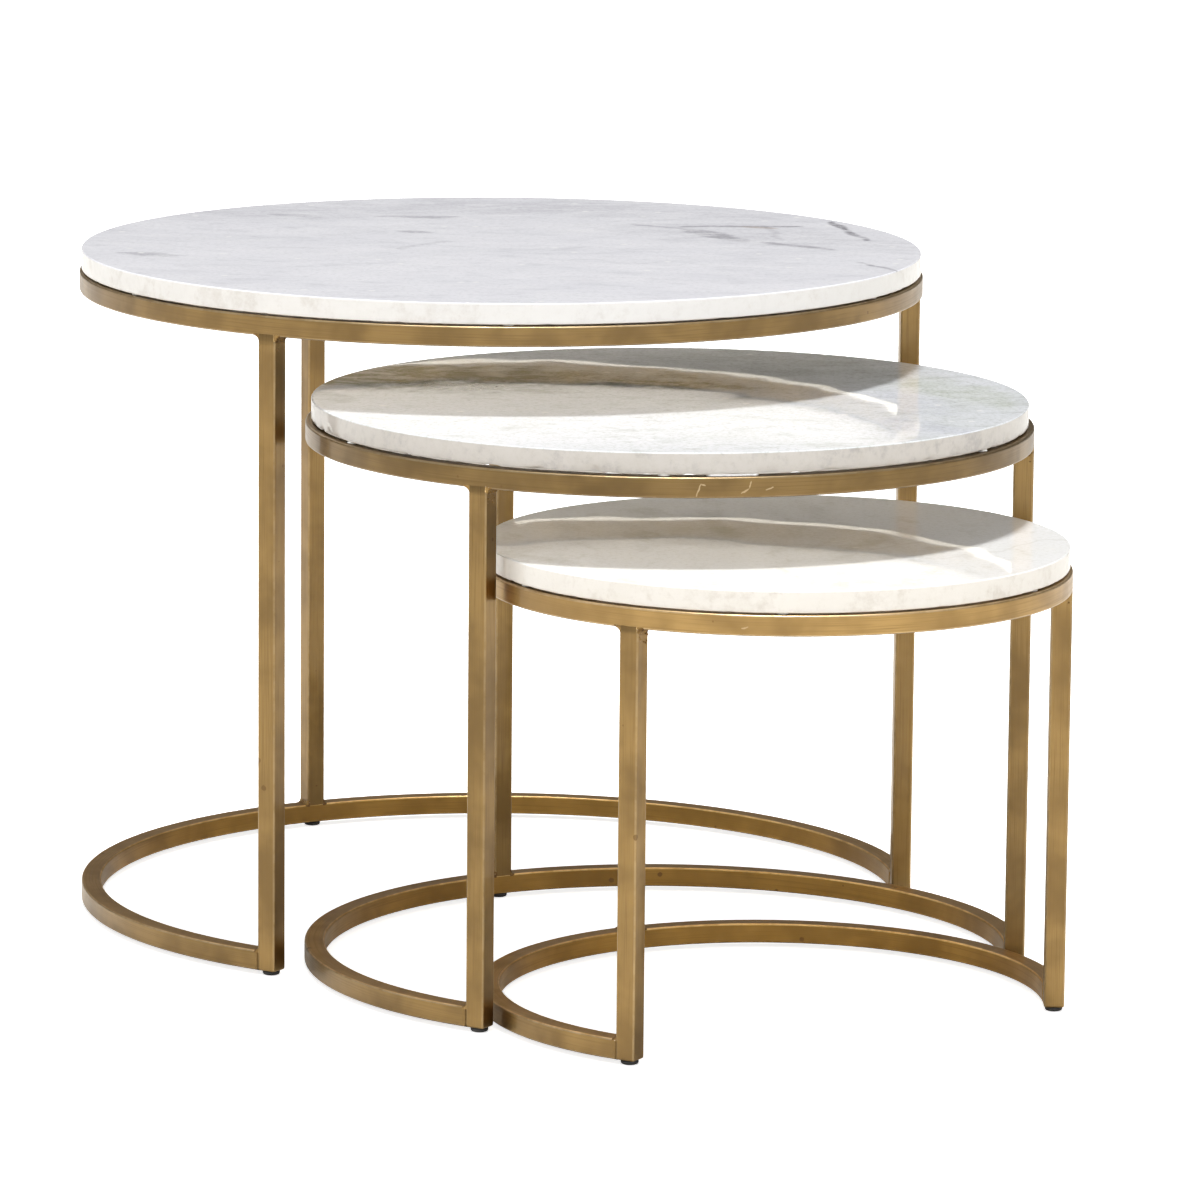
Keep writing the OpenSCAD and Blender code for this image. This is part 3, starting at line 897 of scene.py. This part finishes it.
def makeDiscTree():
    tree, given, made = newGroup("discRow", [
        ("Centre", "Vector"), ("Path Radius", "Float", 0.29), ("Count", "Int", 6), ("First Angle", "Float"),
        ("Diameter", "Float", 0.008), ("Height", "Float", 0.0012), ("Roundness", "Float", 0.25),
        ("Material", "Material")])
    disc = step(tree, "MeshCylinder", {
        "Vertices": 28, "Side Segments": 6, "Fill Segments": 2, "Radius": times(tree, given["Diameter"], 0.5),
        "Depth": given["Height"]}, fill_type="NGON")
    x, y, z = axesOf(tree, step(tree, "InputPosition"))
    rise = calc(tree, "ABSOLUTE", calc(tree, "DIVIDE", z, times(tree, given["Height"], 0.5)))
    shrink = minus(tree, 1.0, times(tree, given["Roundness"], calc(tree, "POWER", rise, 4.0)))
    shaped = step(tree, "SetPosition", {
        "Geometry": disc, "Position": vectorOf(tree, times(tree, x, shrink), times(tree, y, shrink), z)})
    path = step(tree, "CurvePrimitiveCircle", {
        "Resolution": given["Count"], "Radius": given["Path Radius"]}, mode="RADIUS")
    turned = step(tree, "Transform", {
        "Geometry": path, "Translation": given["Centre"],
        "Rotation": vectorOf(tree, 0.0, 0.0, given["First Angle"])})
    spread = step(tree, "InstanceOnPoints", {
        "Points": turned, "Instance": shaped})
    return endInMesh(tree, spread, given, made)


discTree = makeDiscTree()


def splitShells(node):              # the boxes of a CAD node's separate solids
    bm = bmesh.new()
    bm.from_mesh(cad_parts[node].data)
    bmesh.ops.remove_doubles(bm, verts=bm.verts, dist=1e-6)
    seen, boxes = set(), []
    for vert in bm.verts:
        if vert in seen:
            continue
        stack, low, high = [vert], vert.co.copy(), vert.co.copy()
        seen.add(vert)
        while stack:
            here = stack.pop()
            low, high = Vector(map(min, low, here.co)), Vector(map(max, high, here.co))
            for link in here.link_edges:
                other = link.other_vert(here)
                if other not in seen:
                    seen.add(other)
                    stack.append(other)
        boxes.append((low, high))
    bm.free()
    return boxes


glueShape = {
    "table": "middle",               # some glue was squeezed out between this slab and its ring
    "from": -113.0,                  # degrees round the table
    "to": -104.7,
    "inner": 243.0 * mm,
    "outer": 246.9 * mm,
    "wander": 1.1 * mm,
    "steps": 90,
}


def addGlue(mesh, shape, size):
    low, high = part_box(shape["table"] + "_ring")[1].z - 0.1 * mm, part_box(shape["table"] + "_top")[0].z + 0.1 * mm
    bm = bmesh.new()
    bm.from_mesh(mesh)
    inner, loops = shape["inner"], []
    for k in range(shape["steps"] + 1):
        share = k / shape["steps"]
        away = outwardAt(math.radians(shape["from"] + (shape["to"] - shape["from"]) * share))
        swell = min(1.0, share * 12, (1 - share) * 12) ** 0.5
        wander = noise.noise(Vector((share * 14, 0, 3))) * shape["wander"]
        outer = inner + (shape["outer"] + wander - inner) * swell
        loops.append([bm.verts.new(size["centre"] + away * reach + Vector((0, 0, z))) for reach, z in (
            (inner, low), (outer - 0.3 * mm, low), (outer, (low * 2 + high) / 3),
            (outer - 0.1 * mm, (low + high * 2) / 3), (outer - 0.5 * mm, high), (inner, high))])
    bridge(bm, loops, capped=True)
    fillMesh(bm, mesh)


glideShape = {
    "sides": 32,
    "foot": ((0.0, 0.0), (0.74, 0.0), (0.9, 0.12), (0.98, 0.35), (1.0, 0.6), (0.97, 1.0)),    # shares of its size
    "stem": 0.34,
    "stemRound": 0.5 * mm,
}


def addGlide(bm, shape, low, high, foot):
    centre, radius = (low + high) / 2, (high.x - low.x) / 2
    stem = shape["stem"] * radius
    rows = [(share * radius, low.z + rise * foot) for share, rise in shape["foot"]] + [
        (stem, low.z + foot), (stem * 0.98, high.z - shape["stemRound"]), (stem * 0.8, high.z), (0.0, high.z)]
    loops = []
    for reach, z in rows:
        turns = [2 * math.pi * k / shape["sides"] for k in range(shape["sides"] if reach else 1)]
        loops.append([bm.verts.new((centre.x + reach * math.cos(t), centre.y + reach * math.sin(t), z)) for t in turns])
    bridge(bm, loops)


for name in tableNames:
    size = frames[name]
    shells = splitShells(name + "_pads")
    low, high = shells[0]
    first = (low + high) / 2 - size["centre"]
    mesh = growMesh(discTree, {
        "Centre": tuple(size["centre"] + Vector((0, 0, (low.z + high.z) / 2))),
        "Path Radius": math.hypot(first.x, first.y), "Count": len(shells), "First Angle": math.atan2(first.y, first.x),
        "Diameter": high.x - low.x, "Height": high.z - low.z, "Roundness": 0.18, "Material": clearRubber})
    if name == glueShape["table"]:
        addGlue(mesh, glueShape, size)
    seatPiece(name, "SlabPads", mesh, "pads")
    bm = bmesh.new()
    for low, high in splitShells(name + "_glides"):
        addGlide(bm, glideShape, low, high, size["floor"] - low.z)
    mesh = fillMesh(bm, bpy.data.meshes.new("glides"))
    seatPiece(name, "Glides", mesh, "glides", blackRubber)
print("pads and glides placed")


studioLook = {
    "floorColor": (0.93, 0.93, 0.92),
    "floorBounce": (0.84, 0.83, 0.80),     # what the floor throws back at the set
    "floorGlow": 0.75,
    "floorDrop": 0.2 * mm,
    "keyStrength": 3.2,
    "keySize": 11.0,           # degrees, sets how soft the overhead shadows are
    "front": 0.92,
    "back": 0.145,
    "backTint": (1.0, 0.965, 0.91),
    "frontTurn": -20.0,        # the front light's middle stands this far left of the camera
    "frontFade": (-0.65, 0.4),
    "top": 0.50,
    "topFade": (0.35, 0.8),
    "softboxPower": 1.6,
    "softboxPlace": (0.55, 1.6, 0.8),       # to the right of the camera's line, in front of the set, height
    "softboxAim": (0, 0, 0.3),
    "softboxSize": 1.5,
}


def makeFloor(look):
    bm = bmesh.new()
    below = Matrix.Translation((0, 0, -look["floorDrop"]))
    bmesh.ops.create_grid(bm, x_segments=8, y_segments=8, size=30, matrix=below)
    mesh = bpy.data.meshes.new("studioFloor")
    bm.to_mesh(mesh)
    bm.free()
    material, tree, shader, place = newMaterial("paleFloor")
    soft = fade(tree, noiseAt(tree, place, 2.0, 2.0), 0.3, 0.7)
    pale = blend(tree, soft, look["floorColor"], tuple(c * 0.98 for c in look["floorColor"]))
    seen = addNode(tree, "ShaderNodeLightPath").outputs["Is Camera Ray"]   # the glow only lifts its shadows
    plugAll(tree, shader, {
        "Base Color": blend(tree, seen, look["floorBounce"], pale), "Roughness": 0.9, "Specular IOR Level": 0.0,
        "Emission Color": (1, 1, 1, 1), "Emission Strength": times(tree, seen, look["floorGlow"])})
    addPiece("studioFloor", mesh, material)


def addLight(name, kind, strength, place):
    light = bpy.data.lights.new(name, kind)
    light.energy = strength
    lamp = bpy.data.objects.new(name, light)
    scene.collection.objects.link(lamp)
    lamp.location = place
    return light, lamp


def makeStudio(look):
    key, _ = addLight("overheadKey", "SUN", look["keyStrength"], (0, 0, 3))
    key.angle = math.radians(look["keySize"])
    right = Vector((math.cos(viewTurn), math.sin(viewTurn), 0))
    ahead = Vector((-math.sin(viewTurn), math.cos(viewTurn), 0))
    aside, front, up = look["softboxPlace"]
    place = right * aside - ahead * front + Vector((0, 0, up))
    box, softbox = addLight("frontSoftbox", "AREA", look["softboxPower"], place)
    box.size = look["softboxSize"]
    softbox.rotation_euler = (Vector(look["softboxAim"]) - place).to_track_quat("-Z", "Y").to_euler()
    world = bpy.data.worlds.new("studioAir")
    scene.world = world
    world.use_nodes = True
    tree = world.node_tree
    tree.nodes.clear()
    direction = addNode(tree, "ShaderNodeTexCoord").outputs["Generated"]
    toward = Matrix.Rotation(math.radians(look["frontTurn"]), 3, "Z") @ Vector((-lookAhead.x, -lookAhead.y, 0))
    facing = vectorCalc(tree, "DOT_PRODUCT", direction, tuple(toward.normalized()))
    rise = axesOf(tree, direction)[2]
    lit = fade(tree, facing, *look["frontFade"])
    around = fade(tree, lit, 0.0, 1.0, look["back"], look["front"])
    strength = calc(tree, "ADD", times(tree, around, fade(tree, rise, *look["topFade"], 1.0, 0.0)),
                    fade(tree, rise, *look["topFade"], 0.0, look["top"]))
    air = addNode(tree, "ShaderNodeBackground", {
        "Color": blend(tree, lit, look["backTint"], (1.0, 1.0, 1.0)), "Strength": strength})
    plug(tree, tree.nodes.new("ShaderNodeOutputWorld").inputs[0], air.outputs[0])
    scene.view_settings.view_transform = "Standard"


makeFloor(studioLook)
makeStudio(studioLook)
print("studio lit")
